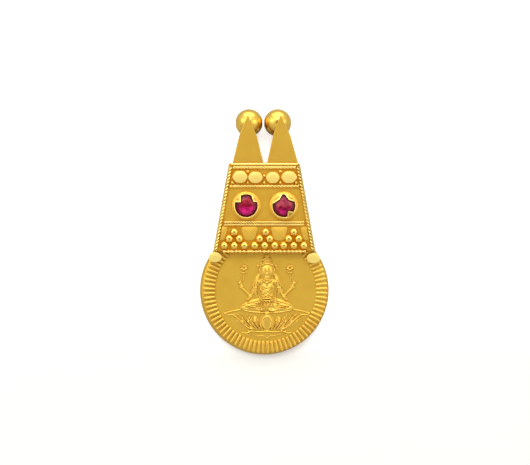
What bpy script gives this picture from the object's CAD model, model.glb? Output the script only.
import math
import random

import bpy
from mathutils import Matrix, Vector


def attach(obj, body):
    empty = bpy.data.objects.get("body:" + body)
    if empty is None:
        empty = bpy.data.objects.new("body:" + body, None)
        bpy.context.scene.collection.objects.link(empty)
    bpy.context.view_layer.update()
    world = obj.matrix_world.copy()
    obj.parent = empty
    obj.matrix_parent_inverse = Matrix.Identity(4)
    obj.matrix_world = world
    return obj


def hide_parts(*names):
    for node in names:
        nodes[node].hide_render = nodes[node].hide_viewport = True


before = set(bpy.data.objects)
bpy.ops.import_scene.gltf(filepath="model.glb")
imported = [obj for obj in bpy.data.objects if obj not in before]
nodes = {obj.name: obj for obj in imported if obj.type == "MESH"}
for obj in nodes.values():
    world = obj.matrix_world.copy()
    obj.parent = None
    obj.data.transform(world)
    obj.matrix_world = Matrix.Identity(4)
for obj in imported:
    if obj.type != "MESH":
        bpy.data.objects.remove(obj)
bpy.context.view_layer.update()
print("loaded", len(nodes), "solid pieces")

# Everything new is modelled in millimetres in the pendant's own plane: the coin's centre on its
# back face is zero, Y runs to the spires and Z out of the face. layDown turns it to how it lies.
mm = 0.001
gap = 0.02
coin = {"radius": 8.4, "field": 0.85, "ribTop": 1.12, "backEdge": 0.12, "sides": 240}
plate = {"face": 1.7, "high": 16.55, "halfLow": 6.63, "halfHigh": 4.6}
ball = {"radius": 1.8, "leftX": -2.005, "rightX": 1.745, "y": 21.85, "z": -0.12}
stones = {"leftX": -2.33, "rightX": 2.53, "y": 10.96, "z": 2.2, "radius": 1.5}

footRadius = coin["radius"] - coin["backEdge"]
reach = ball["y"] + footRadius
tilt = math.asin(ball["radius"] / math.hypot(reach, ball["z"])) - math.atan2(ball["z"], reach)
lift = footRadius * math.sin(tilt)
topY = ball["y"] * math.cos(tilt) - ball["z"] * math.sin(tilt) + ball["radius"]
lowY = -coin["radius"] * math.cos(tilt) - coin["field"] * math.sin(tilt)
layDown = (Matrix.Scale(mm, 4) @ Matrix.Translation((0, -(topY + lowY) / 2, lift))
           @ Matrix.Rotation(tilt, 4, "X"))


def pick(*objs):
    bpy.ops.object.select_all(action="DESELECT")
    for obj in objs:
        obj.select_set(True)
    bpy.context.view_layer.objects.active = objs[0]


def editAll(obj):  # edit mode with everything selected
    pick(obj)
    bpy.ops.object.mode_set(mode="EDIT")
    bpy.ops.mesh.select_mode(type="VERT")
    bpy.ops.mesh.select_all(action="SELECT")


def editFaces(obj, test):  # edit mode with the faces that pass the test selected
    pick(obj)
    for part in (obj.data.vertices, obj.data.edges, obj.data.polygons):
        part.foreach_set("select", [False] * len(part))
    for face in obj.data.polygons:
        face.select = test(face)
    bpy.ops.object.mode_set(mode="EDIT")
    bpy.ops.mesh.select_mode(type="FACE")


def leaveEdit():
    bpy.ops.object.mode_set(mode="OBJECT")


def bake(obj):  # puts the object's place and size into its mesh
    pick(obj)
    bpy.ops.object.transform_apply(location=True, rotation=True, scale=True)
    return obj


def join(objs, name):
    pick(*objs)
    if len(objs) > 1:
        bpy.ops.object.join()
    objs[0].name = objs[0].data.name = name
    return objs[0]


def copyOf(obj, name, place=Matrix.Identity(4)):
    twin = obj.copy()
    twin.data = obj.data.copy()
    twin.name = twin.data.name = name
    bpy.context.scene.collection.objects.link(twin)
    twin.matrix_world = place @ obj.matrix_world
    bake(twin)
    if place.determinant() < 0:
        editAll(twin)
        bpy.ops.mesh.normals_make_consistent(inside=False)
        leaveEdit()
    return twin


def applied(obj, kind, **settings):  # adds a modifier, sets it and applies it
    pick(obj)
    modifier = obj.modifiers.new(kind.lower(), kind)
    for key, value in settings.items():
        setattr(modifier, key, value)
    bpy.ops.object.modifier_apply(modifier=modifier.name)
    return obj


def smooth(obj, angle=35):
    pick(obj)
    bpy.ops.object.shade_smooth_by_angle(angle=math.radians(angle))
    return obj


def flatSmooth(obj, angle=35):  # the same, with the large faces kept flat to the light
    return applied(smooth(obj, angle), "WEIGHTED_NORMAL", weight=100, keep_sharp=True)


def turned(name, profile, sides):  # a lathe: radius and height pairs spun round Z
    bpy.ops.mesh.primitive_plane_add(size=1)
    obj = bpy.context.object
    editAll(obj)
    bpy.ops.mesh.merge(type="CENTER")
    bpy.ops.transform.translate(value=(profile[0][0], 0, profile[0][1]))
    for near, far in zip(profile, profile[1:]):
        step = (far[0] - near[0], 0, far[1] - near[1])
        bpy.ops.mesh.extrude_vertices_move(TRANSFORM_OT_translate={"value": step})
    bpy.ops.mesh.select_all(action="SELECT")
    bpy.ops.mesh.spin(steps=sides, angle=2 * math.pi, center=(0, 0, 0), axis=(0, 0, 1))
    bpy.ops.mesh.select_all(action="SELECT")
    bpy.ops.mesh.remove_doubles(threshold=0.0005)
    bpy.ops.mesh.normals_make_consistent(inside=False)
    leaveEdit()
    obj.name = obj.data.name = name
    return obj


def cadCopy(node, name):  # a merged copy of a CAD node, back in the pendant's own plane
    twin = copyOf(nodes[node], name, layDown.inverted())
    twin.parent = None
    for key in list(twin.keys()):
        del twin[key]
    editAll(twin)
    bpy.ops.mesh.remove_doubles(threshold=0.0005)
    bpy.ops.mesh.dissolve_limited(angle_limit=math.radians(0.5))
    leaveEdit()
    twin.data.materials.clear()
    return twin


def finished(obj, material, slot, *replaced):
    obj.matrix_world = layDown @ obj.matrix_world
    bake(obj)
    if material:  # none is given for a piece that has its own already
        obj.data.materials.clear()
        obj.data.materials.append(material)
    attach(obj, "root")
    if replaced:
        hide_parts(*replaced)
    return obj


# Materials

def linearColour(code):
    values = [int(code[i:i + 2], 16) / 255 for i in (1, 3, 5)]
    return [v / 12.92 if v <= 0.04045 else ((v + 0.055) / 1.055) ** 2.4 for v in values] + [1]


def addNode(tree, kind, inputs=None, **settings):
    node = tree.nodes.new(kind)
    for key, value in settings.items():
        setattr(node, key, value)
    for key, value in (inputs or {}).items():
        if isinstance(value, bpy.types.NodeSocket):
            tree.links.new(value, node.inputs[key])
        else:
            node.inputs[key].default_value = value
    return node


# patch, grain and near are in millimetres; hollow is how much of the dark colour a hollow takes
goldLooks = {
    # struck sheet: satin from the die, darker and more orange in the struck hollows
    "satinStruckGold": {"light": "#DCB244", "dark": "#B87614", "rough": (0.4, 0.5),
                        "patch": 2.2, "grain": 0.09, "bump": 0.10, "hollow": 0.2, "near": 0.3},
    # the same struck gold where the ribs and the figure have been rubbed bright by wear
    "wornStruckGold": {"light": "#E8BE52", "dark": "#A4680E", "rough": (0.34, 0.44),
                       "patch": 1.4, "grain": 0.09, "bump": 0.06, "hollow": 1.0, "near": 0.2},
    # sheet brushed by hand before the wires were laid on
    "brushedSheetGold": {"light": "#E6BA4A", "dark": "#C4862A", "rough": (0.38, 0.48),
                         "patch": 1.6, "grain": 0.07, "bump": 0.08, "hollow": 0.4,
                         "near": 0.35},
    # heavier sheet of the spires, filed and brushed
    "filedSheetGold": {"light": "#DAAE42", "dark": "#B87C24", "rough": (0.36, 0.46),
                       "patch": 2.4, "grain": 0.07, "bump": 0.07, "hollow": 0.4, "near": 0.35},
    # sheet between the grains, warmed by the solder's heat: the most orange of all
    "firedSheetGold": {"light": "#F0BE46", "dark": "#DC860C", "rough": (0.3, 0.42),
                       "patch": 0.9, "grain": 0.08, "bump": 0.12, "hollow": 1.1, "near": 0.7},
    # drawn wire, twisted and lightly polished
    "drawnWireGold": {"light": "#FFEC90", "dark": "#84500C", "rough": (0.12, 0.2),
                      "patch": 0.8, "grain": 0.12, "bump": 0.05, "hollow": 1.0, "near": 0.18},
    # the four wires across the plate, paler: their twist is tight and takes the light from above
    "twistedBarGold": {"light": "#FFEE98", "dark": "#985A0C", "rough": (0.16, 0.26),
                       "patch": 0.8, "grain": 0.12, "bump": 0.05, "hollow": 0.5, "near": 0.1},
    # the plain half-round wire along the top, rolled and left satin
    "rolledWireGold": {"light": "#F8D872", "dark": "#D8A238", "rough": (0.36, 0.46),
                       "patch": 1.0, "grain": 0.12, "bump": 0.05, "hollow": 0.4, "near": 0.2},
    # the wire rolled into beads, too thin to be polished as bright
    "beadWireGold": {"light": "#FCDC7C", "dark": "#AC6E16", "rough": (0.26, 0.36),
                     "patch": 0.8, "grain": 0.12, "bump": 0.05, "hollow": 0.7, "near": 0.14},
    # claws, pressed down over the stones with a steel tool
    "pressedClawGold": {"light": "#CFA244", "dark": "#B87012", "rough": (0.52, 0.64),
                        "patch": 0.5, "grain": 0.2, "bump": 0.12, "hollow": 0.8, "near": 0.2},
    # balls for the cord, burnished by hand and softened by wear
    "wornBurnishedGold": {"light": "#E4BC54", "dark": "#C0821C", "rough": (0.2, 0.28),
                          "patch": 1.2, "grain": 0.25, "bump": 0.015, "hollow": 0.4,
                          "near": 0.25},
    # burnished grains: a clear mirror finish
    "burnishedGold": {"light": "#F2CC62", "dark": "#B07C24", "rough": (0.12, 0.18),
                      "patch": 1.2, "grain": 0.25, "bump": 0.015, "hollow": 0.6, "near": 0.25},
    # bead tops and bezel edges planished flat, with fine cross scratches that spread the light
    "planishedGold": {"light": "#FFE27E", "dark": "#F4CC60", "rough": (0.36, 0.46),
                      "patch": 0.45, "grain": 0.1, "bump": 0.14, "hollow": 0.3, "near": 0.3},
}


def goldMaterial(name, look):
    material = bpy.data.materials.new(name)
    material.use_nodes = True
    tree = material.node_tree
    shader = tree.nodes["Principled BSDF"]
    shader.inputs["Metallic"].default_value = 1
    place = addNode(tree, "ShaderNodeTexCoord").outputs["Object"]
    patches = addNode(tree, "ShaderNodeTexNoise", {
        "Vector": place, "Scale": 1 / (look["patch"] * mm), "Detail": 2}).outputs["Fac"]
    tint = addNode(tree, "ShaderNodeMapRange", {
        "Value": patches, "From Min": 0.3, "From Max": 0.7,
        "To Min": 0, "To Max": 0.18}).outputs["Result"]
    shut = addNode(tree, "ShaderNodeAmbientOcclusion", {"Distance": look["near"] * mm},
                   samples=6)
    hollows = addNode(tree, "ShaderNodeMapRange", {
        "Value": shut.outputs["AO"], "From Min": 0.3, "From Max": 0.85,
        "To Min": look["hollow"], "To Max": 0}).outputs["Result"]
    dark = addNode(tree, "ShaderNodeMath", {0: tint, 1: hollows}, operation="ADD",
                   use_clamp=True).outputs["Value"]
    # a mix node's two colours are its sockets 6 and 7, and the mixed one its output 2
    colour = addNode(tree, "ShaderNodeMix", {
        0: dark, 6: linearColour(look["light"]), 7: linearColour(look["dark"])},
        data_type="RGBA")
    tree.links.new(colour.outputs[2], shader.inputs["Base Color"])
    grit = addNode(tree, "ShaderNodeTexNoise", {
        "Vector": place, "Scale": 1 / (look["grain"] * mm), "Detail": 4}).outputs["Fac"]
    rough = addNode(tree, "ShaderNodeMapRange", {
        "Value": grit, "From Min": 0.25, "From Max": 0.75,
        "To Min": look["rough"][0], "To Max": look["rough"][1]}).outputs["Result"]
    tree.links.new(rough, shader.inputs["Roughness"])
    dents = addNode(tree, "ShaderNodeBump", {
        "Height": grit, "Strength": look["bump"], "Distance": 0.02 * mm}).outputs["Normal"]
    tree.links.new(dents, shader.inputs["Normal"])
    return material


gold = {name: goldMaterial(name, look) for name, look in goldLooks.items()}

# faceted natural rubies: crimson, magenta at the foot where light leaves them, dark at the girdle
rubyLook = {"ior": 1.77, "rough": 0.14, "clear": 0.1, "gloss": 0.05, "facet": 0.55,
            "rim": "#54000C", "rimWidth": 0.6, "shut": 0.72, "ringFrom": 1.02, "ringTo": 1.28,
            "jag": 0.2, "glint": (0.62, 1.3)}
rubyZones = {  # share of the height, colour
    "left": [(0, "#D02478"), (0.26, "#C41E6C"), (0.36, "#A81050"), (0.42, "#78041E"),
             (0.52, "#8A1228"), (0.72, "#A02C3C"), (1, "#8C2028")],
    "right": [(0, "#C83070"), (0.2, "#B01C60"), (0.33, "#760428"), (0.42, "#92283C"),
              (0.56, "#A84450"), (0.74, "#9A304A"), (1, "#94204C")],
}


def rubyMaterial(name, middleX, zones):
    material = bpy.data.materials.new(name)
    material.use_nodes = True
    tree = material.node_tree
    shader = tree.nodes["Principled BSDF"]
    for key, value in (("Roughness", rubyLook["rough"]), ("IOR", rubyLook["ior"]),
                       ("Transmission Weight", rubyLook["clear"]),
                       ("Specular IOR Level", rubyLook["gloss"])):
        shader.inputs[key].default_value = value
    middle = layDown @ Vector((middleX, stones["y"], stones["z"]))
    place = addNode(tree, "ShaderNodeVectorMath", {
        0: addNode(tree, "ShaderNodeTexCoord").outputs["Object"], 1: tuple(middle)},
        operation="SUBTRACT").outputs["Vector"]
    apart = addNode(tree, "ShaderNodeSeparateXYZ", {"Vector": place}).outputs
    # the facets under the stone send back the light in angular lighter and darker patches
    facets = addNode(tree, "ShaderNodeTexVoronoi", {
        "Vector": place, "Scale": 1 / (rubyLook["facet"] * mm)}).outputs["Color"]
    patch = addNode(tree, "ShaderNodeSeparateXYZ", {"Vector": facets}).outputs
    zone = addNode(tree, "ShaderNodeMapRange", {
        "Value": apart["Y"], "From Min": -stones["radius"] * mm,
        "From Max": stones["radius"] * mm}).outputs["Result"]
    shifted = addNode(tree, "ShaderNodeMath", {
        0: patch["X"], 1: rubyLook["jag"], 2: -rubyLook["jag"] / 2},
        operation="MULTIPLY_ADD").outputs["Value"]
    ramp = addNode(tree, "ShaderNodeValToRGB", {
        "Fac": addNode(tree, "ShaderNodeMath", {0: zone, 1: shifted}).outputs["Value"]})
    ramp.color_ramp.elements[0].color = linearColour(zones[0][1])
    ramp.color_ramp.elements[1].color = linearColour(zones[-1][1])
    for stop, code in zones[1:-1]:
        ramp.color_ramp.elements.new(stop).color = linearColour(code)
    # dark where the gold stands close, and in a ring along the girdle
    shut = addNode(tree, "ShaderNodeAmbientOcclusion",
                   {"Distance": rubyLook["rimWidth"] * mm}, samples=8).outputs["AO"]
    clear = addNode(tree, "ShaderNodeMapRange", {
        "Value": shut, "From Min": rubyLook["shut"], "From Max": 1}).outputs["Result"]
    around = addNode(tree, "ShaderNodeVectorMath", {0: place},
                     operation="LENGTH").outputs["Value"]
    ring = addNode(tree, "ShaderNodeMapRange", {
        "Value": around, "From Min": rubyLook["ringFrom"] * mm,
        "From Max": rubyLook["ringTo"] * mm, "To Min": 1, "To Max": 0}).outputs["Result"]
    inside = addNode(tree, "ShaderNodeMath", {0: clear, 1: ring},
                     operation="MULTIPLY").outputs["Value"]
    colour = addNode(tree, "ShaderNodeMix", {
        0: inside, 6: linearColour(rubyLook["rim"]), 7: ramp.outputs["Color"]},
        data_type="RGBA")
    glint = addNode(tree, "ShaderNodeMapRange", {
        "Value": patch["Y"], "To Min": rubyLook["glint"][0],
        "To Max": rubyLook["glint"][1]}).outputs["Result"]
    lit = addNode(tree, "ShaderNodeMix", {0: 1, 6: colour.outputs[2], 7: glint},
                  data_type="RGBA", blend_type="MULTIPLY")
    tree.links.new(lit.outputs[2], shader.inputs["Base Color"])
    return material


rubies = {side: rubyMaterial(side + "CutRuby", stones[side + "X"], zones)
          for side, zones in rubyZones.items()}
print("materials made")

# Coin: turned blank, struck ribs, and the figure in relief

coinProfile = [  # radius, height above the back; the ring at 6.3 keeps the field's shading flat
    (0, 0), (8.28, 0), (8.37, 0.04), (8.4, 0.12), (8.4, 0.2), (8.37, 0.3), (8.1, 0.74),
    (8.05, 0.8), (7.98, 0.84), (7.9, coin["field"]), (6.3, coin["field"]), (0, coin["field"]),
]
blank = turned("struckCoin", coinProfile, coin["sides"])
print("coin blank made")

rib = {"inside": 6.48, "length": 1.68, "count": 80, "foot": 0.6, "crest": 0.34, "topLong": 0.9,
       "height": 0.28, "sunk": 0.46, "bevel": 0.13, "offX": 0.14, "offY": -0.1,
       "uneven": 0.03, "outer": 0.02, "weak": 0.5, "weakAngle": 0.1, "weakPower": 3,
       "faint": 0.42, "faintPower": 4}
bpy.ops.mesh.primitive_cube_add(size=1, location=(0, 0, 0))
ribShape = bpy.context.object
ribShape.scale = (rib["length"], rib["foot"], rib["height"] + rib["sunk"])
bake(ribShape)
editFaces(ribShape, lambda face: face.normal.z > 0.9)
bpy.ops.transform.resize(value=(rib["topLong"], rib["crest"] / rib["foot"], 1))
leaveEdit()
applied(ribShape, "BEVEL", width=rib["bevel"], segments=4, limit_method="ANGLE")
random.seed(7)
ribs = []
for i in range(rib["count"]):
    angle = (i + 0.5) * 2 * math.pi / rib["count"]
    stretch = 1 + random.uniform(-rib["uneven"], rib["uneven"])
    # the die bit less on the right-hand side and at the foot, so the ribs are lower there
    right = max(0, math.cos(angle - rib["weakAngle"])) ** rib["weakPower"]
    foot = max(0, -math.sin(angle)) ** rib["faintPower"]
    full = 1 - rib["weak"] * right - rib["faint"] * foot
    tall = rib["height"] * full * stretch + rib["sunk"]
    middle = Vector((rib["inside"] + rib["length"] / 2 + rib["outer"] * right, 0,
                     coin["field"] - rib["sunk"] + tall / 2))
    ribs.append(copyOf(ribShape, "rib", Matrix.Translation((rib["offX"], rib["offY"], 0))
                       @ Matrix.Rotation(angle, 4, "Z") @ Matrix.Translation(middle)
                       @ Matrix.Diagonal((stretch, 1, tall / (rib["height"] + rib["sunk"]), 1))))
bpy.data.objects.remove(ribShape)
print(len(ribs), "ribs made")

# The figure is laid up from soft lumps and drawn strokes, then fused and softened like a
# worn die. X counts from the figure's own axis, and what is given for one side is mirrored.
figure = {"axis": 0.35, "voxel": 0.032, "soften": 2, "cut": 0.08, "thin": 0.62, "low": 0.76}
# x, y, half width, half height, top above the field, turn in degrees
middleLumps = [
    (0, 0.25, 0.92, 1.1, 0.22, 0), (0, -0.65, 0.78, 0.62, 0.2, 0),
    (0, 1.6, 0.32, 0.4, 0.2, 0), (0, 2.7, 0.98, 1.02, 0.13, 0),
    (0.03, 2.56, 0.64, 0.8, 0.28, 0), (0, 3.5, 0.84, 0.36, 0.2, 0),
    (0, 3.98, 0.68, 0.34, 0.2, 0), (0, 4.42, 0.42, 0.26, 0.2, 0),
    (0, -2.12, 2.9, 0.5, 0.22, 0), (0, -4.12, 0.98, 1.16, 0.24, 0),
]
sideLumps = [
    (0.42, 0.5, 0.34, 0.32, 0.29, 0), (1.12, 3.18, 0.2, 0.2, 0.22, 0),
    (1.02, 2.6, 0.13, 0.2, 0.2, 0), (3.12, -2.28, 0.4, 0.34, 0.27, 0),
    (2.5, -1.22, 0.26, 0.15, 0.28, -20), (3.5, 0.92, 0.24, 0.26, 0.22, 12),
    (3.0, 2.66, 0.22, 0.2, 0.24, 0), (0.24, 2.62, 0.12, 0.055, 0.36, 0),
    (2.36, -5.36, 0.17, 0.13, 0.2, 0),
]
# strokes that mirror themselves: points from the middle outwards, radius, top above the field
bands = [
    # shoulders and the crown's bands
    ([(0, 1.2), (1.2, 0.95)], 0.36, 0.22),
    ([(0, 3.7), (0.6, 3.52), (0.88, 3.1)], 0.07, 0.29),
    ([(0, 3.46), (0.42, 3.4), (0.7, 3.2)], 0.06, 0.27),
    ([(0, 4.16), (0.4, 4.08), (0.74, 3.78)], 0.07, 0.27),
    ([(0, 4.48), (0.44, 4.3)], 0.07, 0.25),
    # necklaces and the long garland
    ([(0, 1.3), (0.44, 1.62)], 0.06, 0.29),
    ([(0, 0.98), (0.66, 1.42)], 0.07, 0.3),
    ([(0, 0.32), (0.5, 0.6), (0.86, 1.2)], 0.06, 0.3),
    ([(0, -0.08), (0.32, 0.06), (0.64, 0.56)], 0.05, 0.29),
    # edge of the cloth over the lap
    ([(0, -2.9), (1.6, -2.86), (3.2, -2.6)], 0.08, 0.22),
    # middle petal of the lotus, a smaller one inside it, and the scrolled foot
    ([(0, -3.04), (0.45, -3.22), (0.84, -3.8), (0.86, -4.5), (0.5, -5.2)], 0.06, 0.3),
    ([(0, -3.42), (0.48, -3.84), (0.54, -4.4), (0.34, -4.96)], 0.05, 0.28),
    ([(0, -5.36), (1, -5.42), (2.0, -5.32)], 0.1, 0.22),
]
# points, radius at each end, top above the field at each end
middleStrokes = [
    # knob of the crown, nose and mouth
    ([(-0.3, 4.6), (0.3, 4.6)], 0.08, 0.08, 0.22, 0.22),
    ([(0.03, 2.74), (0.03, 2.46)], 0.045, 0.06, 0.35, 0.38),
    ([(-0.14, 2.22), (0.03, 2.19), (0.2, 2.22)], 0.045, 0.045, 0.35, 0.35),
    # crossing cords
    ([(-0.9, 0.1), (-0.2, -0.3), (0.62, -0.78)], 0.06, 0.06, 0.27, 0.27),
    ([(0.6, 0.9), (0.1, 0.1), (-0.7, -0.5)], 0.06, 0.06, 0.27, 0.27),
    ([(-0.84, -0.26), (-0.3, -0.62), (0.24, -0.94)], 0.05, 0.05, 0.28, 0.28),
    ([(0.78, 0.34), (0.3, -0.34), (-0.4, -0.86)], 0.05, 0.05, 0.28, 0.28),
    # belt and its cord
    ([(-1.1, -1.0), (0, -1.12), (1.16, -1.0)], 0.07, 0.07, 0.3, 0.3),
    ([(-1.14, -1.24), (0, -1.36), (1.2, -1.24)], 0.09, 0.09, 0.3, 0.3),
    # folds across the lap, and the sash that hangs down the middle
    ([(-1.5, -1.86), (-0.74, -2.56)], 0.06, 0.05, 0.34, 0.32),
    ([(-1.28, -1.7), (-0.5, -2.46)], 0.06, 0.05, 0.34, 0.32),
    ([(-1.06, -1.6), (-0.26, -2.38)], 0.06, 0.05, 0.34, 0.32),
    ([(-0.84, -1.52), (-0.06, -2.28)], 0.06, 0.05, 0.34, 0.32),
    ([(-0.56, -1.5), (-0.1, -1.86), (0.2, -2.24)], 0.05, 0.05, 0.35, 0.33),
    ([(-0.2, -1.44), (0.14, -1.74), (0.34, -2.1)], 0.05, 0.05, 0.35, 0.33),
    ([(0.34, -1.46), (0.48, -2.0), (0.62, -2.6)], 0.08, 0.06, 0.34, 0.32),
    ([(0.6, -1.46), (0.82, -1.95), (1.1, -2.4)], 0.07, 0.06, 0.33, 0.32),
    ([(0.2, -2.5), (0.62, -2.68), (1.1, -2.56)], 0.06, 0.06, 0.32, 0.32),
    # point under the scrolled foot
    ([(-1.9, -5.66), (-1.3, -5.98), (-0.5, -5.94), (-0.05, -6.22), (0.42, -5.94), (1.2, -5.86),
      (1.9, -5.62)], 0.06, 0.06, 0.18, 0.18),
]
sideStrokes = [
    # legs: thigh, shin, and the lines of the cloth along them
    ([(0.9, -1.4), (2.0, -1.66), (3.16, -2.16)], 0.44, 0.32, 0.22, 0.24),
    ([(3.2, -2.34), (1.8, -2.56), (0.3, -2.5)], 0.3, 0.26, 0.27, 0.27),
    ([(1.0, -1.56), (1.9, -1.76), (2.9, -2.04)], 0.05, 0.05, 0.3, 0.29),
    ([(0.9, -2.3), (1.8, -2.4), (2.9, -2.42)], 0.05, 0.05, 0.32, 0.3),
    ([(1.1, -1.3), (2.2, -1.62), (3.36, -2.1), (3.44, -2.36)], 0.05, 0.05, 0.31, 0.29),
    ([(1.5, -2.2), (2.3, -2.22), (3.0, -2.3)], 0.05, 0.05, 0.34, 0.32),
    ([(1.3, -1.8), (2.0, -1.92), (2.7, -2.12)], 0.05, 0.05, 0.33, 0.32),
    # front arm, armlet, bangle and hand
    ([(1.26, 0.86), (1.66, 0.2), (1.9, -0.4), (2.3, -1.06)], 0.26, 0.17, 0.22, 0.22),
    ([(1.0, 2.1), (1.34, 1.3), (1.6, 0.4), (1.5, -0.5)], 0.26, 0.3, 0.16, 0.16),
    ([(1.3, 0.36), (1.56, 0.3), (1.86, 0.42)], 0.06, 0.06, 0.27, 0.27),
    ([(2.02, -0.84), (2.2, -0.86), (2.4, -0.74)], 0.06, 0.06, 0.27, 0.27),
    ([(2.3, -1.1), (2.5, -1.16), (2.74, -1.28)], 0.07, 0.05, 0.31, 0.29),
    # rear arm, bangles, hand and thumb
    ([(2.14, -0.8), (2.5, -0.46), (3.3, 0.3)], 0.2, 0.2, 0.22, 0.26),
    ([(3.06, 0.5), (3.3, 0.44), (3.5, 0.26)], 0.07, 0.07, 0.28, 0.28),
    ([(3.16, 0.64), (3.42, 0.56), (3.62, 0.38)], 0.06, 0.06, 0.28, 0.28),
    ([(3.36, 0.6), (3.5, 0.95), (3.44, 1.2)], 0.17, 0.15, 0.2, 0.22),
    ([(3.62, 0.9), (3.84, 1.16), (3.98, 1.42)], 0.08, 0.05, 0.24, 0.2),
    ([(3.4, 1.1), (3.34, 1.4), (3.4, 1.62)], 0.07, 0.05, 0.24, 0.2),
    # flower stem, its cup, and hair beside the face and over the shoulder
    ([(3.2, 1.1), (3.02, 1.6), (3.0, 2.36)], 0.06, 0.06, 0.24, 0.2),
    ([(3.12, 1.5), (3.34, 1.84), (3.3, 2.1)], 0.05, 0.04, 0.2, 0.16),
    ([(2.56, 2.42), (2.76, 2.3), (3.0, 2.26), (3.24, 2.3), (3.44, 2.42)],
     0.07, 0.07, 0.25, 0.25),
    ([(0.8, 3.1), (0.94, 2.6), (0.84, 2.06), (0.62, 1.78)], 0.07, 0.06, 0.24, 0.22),
    ([(1.2, 3.0), (1.3, 2.4), (1.14, 1.8), (1.3, 1.3)], 0.08, 0.06, 0.16, 0.16),
    ([(0.98, 2.2), (1.04, 1.66), (1.42, 1.0), (1.5, 0.3), (1.46, -0.4)],
     0.06, 0.05, 0.2, 0.18),
    ([(1.26, 1.56), (1.66, 0.86), (1.84, 0.3), (2.0, -0.3)], 0.06, 0.05, 0.22, 0.28),
    ([(0.98, 1.96), (1.24, 1.2), (1.6, 0.5), (1.66, -0.3)], 0.06, 0.05, 0.24, 0.26),
    ([(1.3, 1.4), (1.88, 0.66), (2.06, 0.1), (1.84, -0.6)], 0.06, 0.05, 0.26, 0.28),
    ([(0.5, 1.5), (0.72, 0.9), (0.66, 0.2), (0.5, -0.5)], 0.05, 0.05, 0.3, 0.28),
    ([(0.22, 1.62), (0.32, 1.2), (0, 0.9)], 0.05, 0.05, 0.3, 0.3),
    ([(1.08, 0.6), (1.2, 0.0), (1.1, -0.7)], 0.06, 0.05, 0.2, 0.2),
    ([(1.32, 0.3), (1.44, -0.4), (1.3, -1.0)], 0.05, 0.05, 0.16, 0.18),
    # lotus: the outer leaf's two edges, then each petal's outer and inner edge
    ([(3.4, -2.5), (4.4, -2.7), (5.62, -3.0)], 0.12, 0.08, 0.2, 0.16),
    ([(5.6, -3.04), (5.0, -3.2), (4.3, -3.12)], 0.08, 0.08, 0.16, 0.2),
    ([(4.42, -3.2), (3.6, -3.9), (2.72, -4.72), (1.8, -5.14)], 0.12, 0.1, 0.22, 0.26),
    ([(3.86, -3.06), (3.0, -3.9), (2.2, -4.74), (1.66, -5.1)], 0.07, 0.06, 0.22, 0.24),
    ([(3.3, -3.04), (2.84, -3.7), (2.2, -4.5), (1.5, -5.14)], 0.06, 0.06, 0.24, 0.26),
    ([(2.6, -3.08), (2.3, -3.8), (1.84, -4.5), (1.34, -5.12)], 0.05, 0.05, 0.22, 0.22),
    ([(2.1, -3.04), (2.06, -3.7), (1.7, -4.5), (1.16, -5.14)], 0.06, 0.06, 0.26, 0.28),
    ([(1.36, -3.04), (1.4, -3.8), (1.2, -4.5), (0.94, -5.12)], 0.05, 0.05, 0.26, 0.26),
    # brows, ends of the foot's scrolls
    ([(0.1, 2.8), (0.24, 2.85), (0.42, 2.78)], 0.035, 0.035, 0.35, 0.35),
    ([(2.0, -5.3), (2.4, -5.5), (2.85, -5.58), (3.25, -5.46)], 0.1, 0.07, 0.22, 0.18),
    ([(1.9, -5.66), (2.4, -5.74), (2.9, -5.66)], 0.05, 0.04, 0.18, 0.14),
]
# lotus petals, outermost first: foot x, tip x, tip y, half width, top above the field
lotus = [
    (2.3, 4.4, -2.95, 0.34, 0.13), (1.9, 3.5, -3.0, 0.4, 0.16), (1.4, 2.5, -3.0, 0.42, 0.18),
    (0.9, 1.5, -3.05, 0.4, 0.2),
]
lotusFoot = -5.1
lotusSag = (0.2, -0.12)
swell = [(0, 0.45), (0.3, 0.8), (0.58, 1), (0.82, 0.75), (1, 0.2)]  # way up a petal, width there
flower = {"x": 3.0, "y": 2.86, "petals": 7, "degreesApart": 34, "length": 0.34,
          "petalLong": 0.22, "petalWide": 0.11, "top": 0.24}

lumps = []


def lump(x, y, a, b, top, turn=0):
    bpy.ops.mesh.primitive_uv_sphere_add(segments=24, ring_count=12, radius=1,
                                         location=(figure["axis"] + x, y, coin["field"]),
                                         rotation=(0, 0, math.radians(turn)))
    bpy.context.object.scale = (a, b, top * figure["low"])
    lumps.append(bpy.context.object)


bpy.ops.curve.primitive_bezier_curve_add()
strokes = bpy.context.object
strokes.data.splines.clear()
strokes.data.bevel_depth = 1
strokes.data.bevel_resolution = 3
strokes.data.resolution_u = 8
strokes.data.use_fill_caps = True
strokes.location = (figure["axis"], 0, 0)


def stroke(points, halfWidths, tops):  # one for each point
    spline = strokes.data.splines.new("BEZIER")
    spline.bezier_points.add(len(points) - 1)
    for point, (x, y), half, top in zip(spline.bezier_points, points, halfWidths, tops):
        top *= figure["low"]
        # a stroke wider than it is high is the cap of a thicker tube, sunk in the field
        point.radius = half if half < top else (half * half + top * top) / (2 * top)
        point.co = (x, y, coin["field"] + top - point.radius)
        point.handle_left_type = point.handle_right_type = "AUTO"


def between(start, end, count):  # even steps from one size to another
    return [start + (end - start) * i / (count - 1) for i in range(count)]


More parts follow.
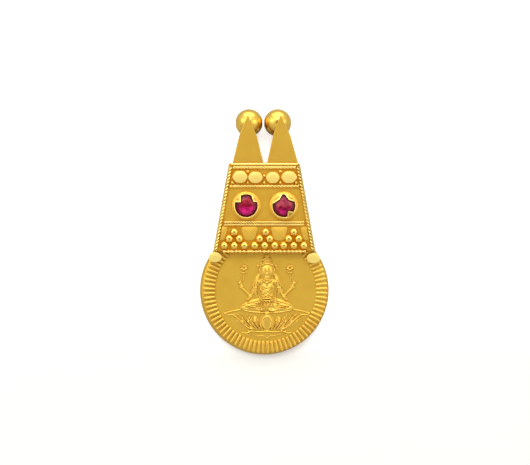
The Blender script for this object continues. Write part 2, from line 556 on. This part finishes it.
for row in middleLumps:
    lump(*row)
for x, y, a, b, top, turn in sideLumps:
    lump(x, y, a, b, top, turn)
    lump(-x, y, a, b, top, -turn)
for half, radius, top in bands:
    points = [(-x, y) for x, y in half[:0:-1]] + half
    stroke(points, [radius] * len(points), [top] * len(points))
for points, startRadius, endRadius, startTop, endTop in middleStrokes:
    stroke(points, between(startRadius, endRadius, len(points)),
           between(startTop, endTop, len(points)))
for points, startRadius, endRadius, startTop, endTop in sideStrokes:
    for side in (1, -1):
        stroke([(x * side, y) for x, y in points],
               between(startRadius, endRadius, len(points)),
               between(startTop, endTop, len(points)))
for footX, tipX, tipY, half, top in lotus:
    for side in (1, -1):
        foot, tip = Vector((footX * side, lotusFoot)), Vector((tipX * side, tipY))
        sag = Vector((lotusSag[0] * side, lotusSag[1]))
        path = [foot.lerp(tip, way) + sag * math.sin(math.pi * way) for way, share in swell]
        stroke(path, [half * share for way, share in swell],
               [top * share for way, share in swell])
for side in (1, -1):
    for i in range(flower["petals"]):
        turn = 90 + (i - (flower["petals"] - 1) / 2) * flower["degreesApart"]
        x = side * flower["x"] + flower["length"] * math.cos(math.radians(turn))
        y = flower["y"] + flower["length"] * math.sin(math.radians(turn))
        lump(x, y, flower["petalLong"], flower["petalWide"], flower["top"], turn)
pick(strokes)
bpy.ops.object.convert(target="MESH")
relief = join([strokes] + lumps, "relief")
bake(relief)
applied(relief, "REMESH", mode="VOXEL", voxel_size=figure["voxel"])
applied(relief, "SMOOTH", factor=0.5, iterations=figure["soften"])
editAll(relief)
bpy.ops.mesh.bisect(plane_co=(0, 0, coin["field"] - figure["cut"]), plane_no=(0, 0, 1),
                    clear_inner=True, use_fill=True)
bpy.ops.mesh.select_all(action="SELECT")
bpy.ops.mesh.quads_convert_to_tris()
leaveEdit()
fine = len(relief.data.polygons)
applied(relief, "DECIMATE", ratio=figure["thin"])
print("relief:", fine, "triangles, thinned to", len(relief.data.polygons))
finished(smooth(blank), gold["satinStruckGold"], "satin_gold", "coin")
finished(smooth(relief), gold["wornStruckGold"], "satin_gold", "coin")
finished(smooth(join(ribs, "rimRibs")), gold["wornStruckGold"], "satin_gold", "coin")

# Plate and spires: softened copies of the solids

body = cadCopy("plate", "plateBody")
applied(body, "BEVEL", width=0.05, segments=2, limit_method="ANGLE", angle_limit=0.6)
finished(flatSmooth(body), gold["firedSheetGold"], "satin_gold", "plate")
for side in ("left", "right"):
    spire = cadCopy(side + "_spire", side + "Spire")
    applied(spire, "BEVEL", width=0.09, segments=2, limit_method="ANGLE", angle_limit=0.6)
    finished(flatSmooth(spire), gold["filedSheetGold"], "satin_gold", side + "_spire")
print("plate and spires made")

# Balls, drilled from side to side and a hair smaller than the solids

drilled = {"radius": 1.796, "bore": 0.4, "lip": 0.06, "lipWide": 0.024, "steps": 40, "sides": 72}
boreAngle = math.asin(drilled["bore"] / drilled["radius"])
arc = []
for i in range(1, drilled["steps"]):
    angle = boreAngle + i * (math.pi - 2 * boreAngle) / drilled["steps"]
    arc.append((drilled["radius"] * math.sin(angle), drilled["radius"] * math.cos(angle)))
mouth = drilled["radius"] * math.cos(boreAngle)
inwards = [(drilled["bore"], 0), (drilled["bore"], mouth - drilled["lip"]),
           (drilled["bore"] + drilled["lipWide"], mouth)]
ballShape = turned("ball", inwards + arc + [(r, -height) for r, height in inwards[::-1]],
                   drilled["sides"])
for name in ("left", "right"):
    place = (Matrix.Translation((ball[name + "X"], ball["y"], ball["z"]))
             @ Matrix.Rotation(math.pi / 2, 4, "Y"))
    finished(smooth(copyOf(ballShape, name + "Ball", place), 50), gold["wornBurnishedGold"],
             "polished_gold", name + "_ball")
bpy.data.objects.remove(ballShape)
print("balls made")

# Twisted wires: a strand's radius and its way off the middle are shares of the wire's diameter

wire = {"sides": 8, "steps": 12, "strand": 0.265, "apart": 0.235}
barWire = {"strand": 0.245, "apart": 0.255}


def twistedWire(name, length, diameter, pitch, hand=1, strand=wire["strand"],
                apart=wire["apart"]):
    strands = []
    for side in (1, -1):
        bpy.ops.mesh.primitive_circle_add(
            vertices=wire["sides"], radius=strand * diameter,
            location=(side * apart * diameter, 0, 0))
        strands.append(bpy.context.object)
    rope = join(strands, name)
    bake(rope)
    turns = math.ceil(length / pitch)
    applied(rope, "SCREW", axis="Z", angle=hand * 2 * math.pi, screw_offset=pitch,
            iterations=turns, steps=wire["steps"], render_steps=wire["steps"])
    editAll(rope)
    bpy.ops.mesh.remove_doubles(threshold=0.0005)
    bpy.ops.mesh.bisect(plane_co=(0, 0, length), plane_no=(0, 0, 1), clear_outer=True)
    bpy.ops.mesh.select_all(action="DESELECT")
    bpy.ops.mesh.select_non_manifold()
    bpy.ops.mesh.edge_face_add()
    bpy.ops.mesh.select_all(action="SELECT")
    bpy.ops.mesh.normals_make_consistent(inside=False)
    bpy.ops.transform.translate(value=(0, 0, -length / 2))
    leaveEdit()
    return smooth(rope, 50)


ropes = {  # height on the plate, half length, diameter, pitch
    "top_rope": (15.95, 4.08, 0.4, 0.87), "upper_rope": (13.52, 4.5, 0.4, 0.87),
    "fine_rope_1": (8.86, 5.2, 0.33, 0.67), "fine_rope_2": (8.52, 5.2, 0.33, 0.67),
}
for node, (y, half, diameter, pitch) in ropes.items():
    rope = twistedWire(node + "Wire", 2 * half, diameter, pitch, 1, **barWire)
    rope.matrix_world = (Matrix.Translation((0, y, plate["face"] + gap + diameter / 2))
                         @ Matrix.Rotation(math.pi / 2, 4, "Y"))
    finished(rope, gold["twistedBarGold"], "polished_gold", node)

edge = {"low": 5.19, "high": 16.1, "diameter": 0.5, "pitch": 0.87, "corner": 5.13,
        "margin": 0.03}
slope = (plate["halfLow"] - plate["halfHigh"]) / (plate["high"] - edge["corner"])
lean = math.atan(slope)
middleY = (edge["low"] + edge["high"]) / 2
halfWidth = plate["halfLow"] - (middleY - edge["corner"]) * slope
inset = (edge["diameter"] / 2 + edge["margin"]) / math.cos(lean)
for side, name in ((-1, "left"), (1, "right")):
    rope = twistedWire(name + "EdgeWire", (edge["high"] - edge["low"]) / math.cos(lean),
                       edge["diameter"], edge["pitch"], -side)
    rope.matrix_world = (Matrix.Translation((side * (halfWidth - inset), middleY, plate["face"]
                                             + gap + edge["diameter"] / 2))
                         @ Matrix.Rotation(side * lean, 4, "Z")
                         @ Matrix.Rotation(-math.pi / 2, 4, "X"))
    finished(rope, gold["drawnWireGold"], "polished_gold", name + "_edge_rope")
print("twisted wires made")

# Beaded wire along the plate's lower edge

beads = {"diameter": 0.46, "pitch": 0.52, "count": 21, "y": 5.06, "core": 0.12, "sides": 14}
beadHalf = [(0.23, 0), (0.19, 0.13), (0.1, 0.207), (0, 0.23)]  # radius, height over its middle
beadShape = turned("bead", [(r, -height) for r, height in beadHalf[::-1]] + beadHalf[1:],
                   beads["sides"])
row = []
for i in range(beads["count"]):
    x = (i - (beads["count"] - 1) / 2) * beads["pitch"]
    row.append(copyOf(beadShape, "bead", Matrix.Translation(
        (x, beads["y"], plate["face"] + gap + beads["diameter"] / 2))))
bpy.data.objects.remove(beadShape)
bpy.ops.mesh.primitive_cylinder_add(
    vertices=12, radius=beads["core"], depth=(beads["count"] - 1) * beads["pitch"],
    location=(0, beads["y"], plate["face"] + gap + beads["diameter"] / 2),
    rotation=(0, math.pi / 2, 0))
beadedWire = smooth(join(row + [bpy.context.object], "beadedWire"), 60)
finished(beadedWire, gold["beadWireGold"], "polished_gold", "beaded_wire")
print("beaded wire made")

# Grains, with a small fillet of solder at the foot

grain = {"radius": 0.5, "middle": 0.42, "pitch": 1.3, "rise": 0.87, "lowY": 5.82,
         "topNudge": 0.14, "sideSteps": 6, "crownSteps": 20, "flatness": 1.4, "sides": 32,
         "speck": 0.4}
triangleX = [-3.88, 0.05, 3.82]
grainProfile = [(0, 0), (0.44, 0), (0.4, 0.035)]  # radius, height: the solder at the foot
for i in range(1, grain["sideSteps"] + 1):
    angle = math.asin(grain["middle"] / grain["radius"]) * (i / grain["sideSteps"] - 1)
    grainProfile.append((grain["radius"] * math.cos(angle),
                         grain["middle"] + grain["radius"] * math.sin(angle)))
# above the middle the side leans in more slowly than a ball's: the crowns are pressed flatter
for i in range(1, grain["crownSteps"] + 1):
    lastRadius, lastHeight = grainProfile[-1]
    radius = grain["radius"] * (1 - i / grain["crownSteps"])
    sink = ((radius + lastRadius) / 2 / grain["radius"]) ** grain["flatness"]
    fallen = sink / math.sqrt(1 - sink ** 2)
    grainProfile.append((radius, lastHeight + fallen * (lastRadius - radius)))
grainShape = turned("grain", grainProfile, grain["sides"])
triangle = [(-1, 0), (0, 0), (1, 0), (-0.5, 1), (0.5, 1), (0, 2)]  # column, level
number = 0
for middle in triangleX:
    for column, level in triangle:
        number += 1
        x = middle + column * grain["pitch"]
        if middle == triangleX[1] and level == 2:  # soldered a little off
            x += grain["topNudge"]
        place = Matrix.Translation((x, grain["lowY"] + level * grain["rise"],
                                    plate["face"] + gap))
        finished(smooth(copyOf(grainShape, f"grain{number}", place), 50),
                 gold["burnishedGold"], "polished_gold", f"grain_{number}")
specks = [  # x, y of the tiny grains
    (-2.13, 15.42), (2.08, 15.42), (-2.13, 13.96), (0, 13.96), (0, 14.85), (2.08, 13.96),
    (-4.12, 13.96), (4.12, 13.96),
]
tiny = [copyOf(grainShape, "speck", Matrix.Translation((x, y, plate["face"] + gap))
               @ Matrix.Scale(grain["speck"], 4)) for x, y in specks]
finished(smooth(join(tiny, "speckGrains"), 50), gold["burnishedGold"], "polished_gold",
         "speck_grains")
bpy.data.objects.remove(grainShape)
print(number, "grains and", len(specks), "tiny ones made")

# Beads and studs hammered flat: the hammer left them with six soft corners

# x, y, half width, half height of each bead's flat face
hammered = [(-3.14, 14.7, 0.97, 0.76), (-1.15, 14.63, 0.95, 0.72), (1.1, 14.61, 0.88, 0.71),
            (3.21, 14.66, 1.02, 0.74)]
stud = {"x": 6.38, "leftY": 4.31, "rightY": 4.17, "halfWide": 0.88, "halfHigh": 0.66,
        "corner": 0.38}
hammer = {"thickness": 0.6, "corner": 0.31, "takenBack": 0.27, "foot": 0.2, "rim": 0.045}


def flattened(name, x, y, halfWide, halfHigh, foot, corner):
    bpy.ops.mesh.primitive_cylinder_add(vertices=6, radius=1, depth=hammer["thickness"],
                                        location=(x, y, foot + hammer["thickness"] / 2),
                                        rotation=(0, 0, math.pi / 6))
    obj = bpy.context.object
    obj.name = obj.data.name = name
    pick(obj)
    bpy.ops.object.transform_apply(location=False, rotation=True, scale=False)
    # the rounding takes back a share of its radius at the two outer corners
    obj.scale = (halfWide + corner * hammer["takenBack"], halfHigh / math.cos(math.pi / 6), 1)
    bake(obj)
    editAll(obj)
    bpy.ops.mesh.select_mode(type="EDGE")
    bpy.ops.mesh.select_all(action="DESELECT")
    leaveEdit()
    for edge in obj.data.edges:  # the six upright edges
        ends = [obj.data.vertices[v].co for v in edge.vertices]
        edge.select = abs(ends[0].z - ends[1].z) > 0.1
    bpy.ops.object.mode_set(mode="EDIT")
    bpy.ops.mesh.bevel(offset=corner, segments=6, clamp_overlap=True)
    leaveEdit()
    editFaces(obj, lambda face: face.normal.z < -0.9)
    bpy.ops.mesh.region_to_loop()
    bpy.ops.mesh.bevel(offset=hammer["foot"], segments=5, clamp_overlap=True)
    leaveEdit()
    editFaces(obj, lambda face: face.normal.z > 0.9)
    bpy.ops.mesh.region_to_loop()
    bpy.ops.mesh.bevel(offset=hammer["rim"], segments=4, clamp_overlap=True)
    leaveEdit()
    return smooth(obj, 40)


for i, (x, y, halfWide, halfHigh) in enumerate(hammered):
    bead = flattened(f"flatBead{i + 1}", x, y, halfWide, halfHigh, plate["face"] + gap,
                     hammer["corner"])
    finished(bead, gold["planishedGold"], "polished_gold", f"flat_bead_{i + 1}")
for side, name in ((-1, "left"), (1, "right")):
    bead = flattened(name + "Stud", side * stud["x"], stud[name + "Y"], stud["halfWide"],
                     stud["halfHigh"], coin["ribTop"] + gap, stud["corner"])
    finished(bead, gold["planishedGold"], "polished_gold", name + "_stud")
print("flat beads and studs made")

# Domed petals: a rounded outline raised in rings to a low pillow

petal = {"top": 8.26, "high": 1.78, "halfTop": 1.15, "halfFoot": 0.65, "round": 0.36,
         "wall": 0.12, "rise": 0.06, "rings": 12, "trim": 0.6}
petalX = {"left_half_petal": -5.83, "left_petal": -1.915, "right_petal": 1.935,
          "right_half_petal": 5.77}
petalMiddle = petal["top"] - petal["high"] / 2
bpy.ops.mesh.primitive_plane_add(size=1, location=(0, petalMiddle, 0))
petalShape = bpy.context.object
petalShape.scale = (2 * petal["halfTop"], petal["high"], 1)
bake(petalShape)
for vertex in petalShape.data.vertices:
    if vertex.co.y < petalMiddle:
        vertex.co.x *= petal["halfFoot"] / petal["halfTop"]
editAll(petalShape)
bpy.ops.mesh.bevel(offset=petal["round"], segments=7, affect="VERTICES")
bpy.ops.mesh.select_all(action="SELECT")
bpy.ops.mesh.extrude_region_move(TRANSFORM_OT_translate={"value": (0, 0, petal["wall"])})
size, height = 1, 0
for ring in range(1, petal["rings"]):
    shrunk = 1 - ring / petal["rings"]
    raised = petal["rise"] * (1 - shrunk ** 2)
    bpy.ops.mesh.extrude_region_move(TRANSFORM_OT_translate={"value": (0, 0, raised - height)})
    bpy.ops.transform.resize(value=(shrunk / size, shrunk / size, 1),
                             center_override=(0, petalMiddle, 0))
    size, height = shrunk, raised
bpy.ops.mesh.select_all(action="SELECT")
bpy.ops.mesh.normals_make_consistent(inside=False)
leaveEdit()
for name, x in petalX.items():
    dome = copyOf(petalShape, name + "Dome", Matrix.Translation((x, 0, plate["face"] + gap)))
    editAll(dome)
    for side in (-1, 1):  # the outer ones are cut off beside the edge wires
        cutX = side * (plate["halfLow"] - petal["trim"])
        bpy.ops.mesh.select_all(action="SELECT")
        bpy.ops.mesh.bisect(plane_co=(cutX, edge["corner"], 0), clear_outer=True, use_fill=True,
                            plane_no=(side * math.cos(lean), math.sin(lean), 0))
    leaveEdit()
    finished(smooth(dome, 40), gold["brushedSheetGold"], "satin_gold", name)
bpy.data.objects.remove(petalShape)
print(len(petalX), "petals made")

# Settings: a turned collet and bezel, with claws pressed over the stone

setting = {"girdle": 0.42, "girdleHigh": 0.08, "crown": 0.42, "table": 0.84, "lip": 1.48,
           "clawReach": 0.75, "clawThick": 0.142, "clawBevel": 0.075, "clawRim": 0.15,
           "clearance": 0.085, "sides": 96}
# corner that each claw shows over the stone, and the angles between which it spreads
claws = {
    "left": [(-0.7, 0.48, 92, 180), (0.92, 0.53, -2, 106)],
    "right": [(-0.61, 0.8, 58, 212), (0.67, 0.77, -17, 125), (0.53, -0.66, -96, -9)],
}
inner = stones["radius"] + gap
fall = setting["crown"] / (stones["radius"] - setting["table"])
low = setting["girdle"] + setting["girdleHigh"] + setting["clearance"]
high = low + setting["clawThick"]
clawFoot = stones["radius"] - setting["clawReach"]
clawTip = low + fall * setting["clawReach"]
# each profile is radius and height above the plate
colletProfile = [
    (1.3, 0.2), (1.3, 0.03), (1.82, 0.02), (1.85, 0.05), (1.84, 0.09), (1.8, 0.12),
    (1.74, 0.13), (1.7, 0.11), (1.66, 0.13), (1.6, 0.15), (1.5, 0.15), (1.3, 0.2),
]
bezelProfile = [
    (1.32, 0.21), (1.5, 0.1), (inner + 0.14, 0.13), (inner + 0.12, 0.2), (inner + 0.12, 0.58),
    (inner + 0.11, 0.63), (inner + 0.07, 0.67), (inner - 0.01, 0.68), (setting["lip"], 0.66),
    (setting["lip"], 0.6), (inner, 0.57), (inner, 0.4), (1.32, 0.21),
]
clawProfile = [
    (inner + 0.06, low - 0.05), (clawFoot, clawTip), (clawFoot, clawTip + setting["clawThick"]),
    (inner, high - 0.01), (inner + 0.07, high - 0.07), (inner + 0.09, high - 0.12),
    (inner + 0.06, low - 0.05),
]
for name in ("left", "right"):
    seat = Matrix.Translation((stones[name + "X"], stones["y"], plate["face"]))
    for part, profile, look in (("Collet", colletProfile, "brushedSheetGold"),
                                ("Bezel", bezelProfile, "planishedGold")):
        ring = turned(name + part, profile, setting["sides"])
        ring.matrix_world = seat
        bake(ring)
        finished(smooth(ring), gold[look], "polished_gold", name + "_setting")
    pieces = []
    for x, y, start, end in claws[name]:
        claw = turned("claw", clawProfile, setting["sides"])
        editAll(claw)
        # the claw keeps what lies anticlockwise of its first edge and clockwise of its second
        for turn in (start - 90, end + 90):
            away = math.radians(turn)
            bpy.ops.mesh.bisect(plane_co=(x, y, 0), clear_outer=True, use_fill=True,
                                plane_no=(math.cos(away), math.sin(away), 0))
            bpy.ops.mesh.select_all(action="SELECT")
        bpy.ops.mesh.remove_doubles(threshold=0.001)
        bpy.ops.mesh.dissolve_limited(angle_limit=math.radians(1))
        leaveEdit()
        # the rim of each claw is rubbed bright, and the middle keeps the tool's matt marks
        editFaces(claw, lambda face: face.normal.z > 0.5)
        bpy.ops.mesh.inset(thickness=setting["clawRim"])
        leaveEdit()
        for look in ("planishedGold", "pressedClawGold"):
            claw.data.materials.append(gold[look])
        for face in claw.data.polygons:
            face.material_index = int(face.select)
        applied(claw, "BEVEL", width=setting["clawBevel"], segments=3, limit_method="ANGLE",
                angle_limit=0.7)
        pieces.append(claw)
    mount = join(pieces, name + "Claws")
    mount.matrix_world = seat
    bake(mount)
    finished(flatSmooth(mount), None, "polished_gold", name + "_setting")
    stone = nodes[name + "_stone"]
    stone.data.materials.clear()
    stone.data.materials.append(rubies[name])
band = cadCopy("top_band", "topBand")
applied(band, "BEVEL", width=0.04, segments=2, limit_method="ANGLE", angle_limit=0.7)
finished(flatSmooth(band), gold["rolledWireGold"], "polished_gold", "top_band")
print("settings, stones and top band made")

# Floor, light and camera

studio = {"lens": 120, "sensor": 36, "pixels": 530, "mmPerPixel": 0.13,
          "middle": (0.09, 7.51, 1.1), "floor": 0.8, "under": 0.00002, "nearGlow": 0.02,
          "farGlow": 0.62, "glowFrom": -0.0164, "glowTo": -0.011}
bpy.ops.mesh.primitive_plane_add(size=studio["floor"], location=(0, 0, -studio["under"]))
floor = bpy.context.object
floor.name = "floor"
paper = bpy.data.materials.new("litWhiteAcrylic")  # a light table's matt top, lit from below
paper.use_nodes = True
paperShader = paper.node_tree.nodes["Principled BSDF"]
paperShader.inputs["Roughness"].default_value = 0.9
paperShader.inputs["Emission Color"].default_value = (1, 1, 1, 1)
# the table's own light washes out the picture's ground, but is kept off the gold
paperTree = paper.node_tree
seen = addNode(paperTree, "ShaderNodeLightPath").outputs["Is Camera Ray"]
upTable = addNode(paperTree, "ShaderNodeSeparateXYZ", {
    "Vector": addNode(paperTree, "ShaderNodeTexCoord").outputs["Object"]}).outputs["Y"]
lit = addNode(paperTree, "ShaderNodeMapRange", {
    "Value": upTable, "From Min": studio["glowFrom"], "From Max": studio["glowTo"],
    "To Min": studio["nearGlow"], "To Max": studio["farGlow"]}).outputs["Result"]
glow = addNode(paperTree, "ShaderNodeMath", {0: seen, 1: lit},
               operation="MULTIPLY").outputs["Value"]
paperTree.links.new(glow, paperShader.inputs["Emission Strength"])
white = addNode(paperTree, "ShaderNodeMix", {
    0: seen, 6: linearColour("#BCBCBC"), 7: linearColour("#DCDAD4")}, data_type="RGBA")
paperTree.links.new(white.outputs[2], paperShader.inputs["Base Color"])
floor.data.materials.append(paper)

# a white tent round the table: dark near the table, bright above, open at the very top
tent = {"backdrop": 0.97, "strength": 1.13, "farSide": 1.4, "nearSide": 0.6,
        "stops": [(0, 0.75), (0.3, 0.8), (0.6, 1), (0.948, 1), (0.958, 0.3)]}
world = bpy.data.worlds.new("tent")
bpy.context.scene.world = world
world.use_nodes = True
tree = world.node_tree
way = addNode(tree, "ShaderNodeTexCoord").outputs["Generated"]
height = addNode(tree, "ShaderNodeSeparateXYZ", {"Vector": way}).outputs["Z"]
walls = addNode(tree, "ShaderNodeValToRGB", {"Fac": height})
for i, (stop, value) in enumerate(tent["stops"]):
    ends = walls.color_ramp.elements
    mark = ends[i] if i < 1 else ends.new(stop)
    mark.position, mark.color = stop, (value, value, value, 1)
walls.color_ramp.elements.remove(walls.color_ramp.elements[-1])
away = addNode(tree, "ShaderNodeSeparateXYZ", {"Vector": way}).outputs["Y"]
share = addNode(tree, "ShaderNodeMapRange", {
    "Value": away, "From Min": -1, "From Max": 1, "To Min": tent["nearSide"] * tent["strength"],
    "To Max": tent["farSide"] * tent["strength"]}).outputs["Result"]
bright = addNode(tree, "ShaderNodeMath", {0: walls.outputs["Color"], 1: share},
                 operation="MULTIPLY").outputs["Value"]
seen = addNode(tree, "ShaderNodeLightPath").outputs["Is Camera Ray"]
power = addNode(tree, "ShaderNodeMix", {0: seen, 2: bright, 3: tent["backdrop"]})
tree.links.new(power.outputs[0], tree.nodes["Background"].inputs["Strength"])
tree.nodes["Background"].inputs["Color"].default_value = (1, 1, 1, 1)

lamps = {  # place in metres, width, depth, brightness of its face
    "keySoftbox": ((-0.02, 0.2, 0.3), 0.2, 0.12, 5),
    "leftSoftbox": ((-0.26, 0.1, 0.24), 0.16, 0.24, 1.6),
    "rightSoftbox": ((0.3, 0.04, 0.26), 0.16, 0.26, 1.3),
    "backCard": ((0, 0.3, 0.1), 0.4, 0.2, 1.9),
}
for name, (place, width, depth, brightness) in lamps.items():
    bpy.ops.object.light_add(type="AREA", location=place)
    lamp = bpy.context.object
    lamp.name = name
    lamp.data.shape = "RECTANGLE"
    lamp.data.size, lamp.data.size_y = width, depth
    lamp.data.energy = brightness * math.pi * width * depth
    lamp.rotation_euler = (-Vector(place)).to_track_quat("-Z", "Y").to_euler()

lensDistance = studio["lens"] / studio["sensor"] * studio["pixels"] * studio["mmPerPixel"]
bpy.ops.object.camera_add()
camera = bpy.context.object
camera.data.lens = studio["lens"]
camera.data.sensor_width = studio["sensor"]
x, y, z = studio["middle"]
camera.location = layDown @ Vector((x, y, z + lensDistance))
camera.rotation_euler = (tilt, 0, 0)
camera.data.clip_start = 0.001
bpy.context.scene.camera = camera
bpy.context.scene.view_settings.view_transform = "Standard"
print("studio ready")
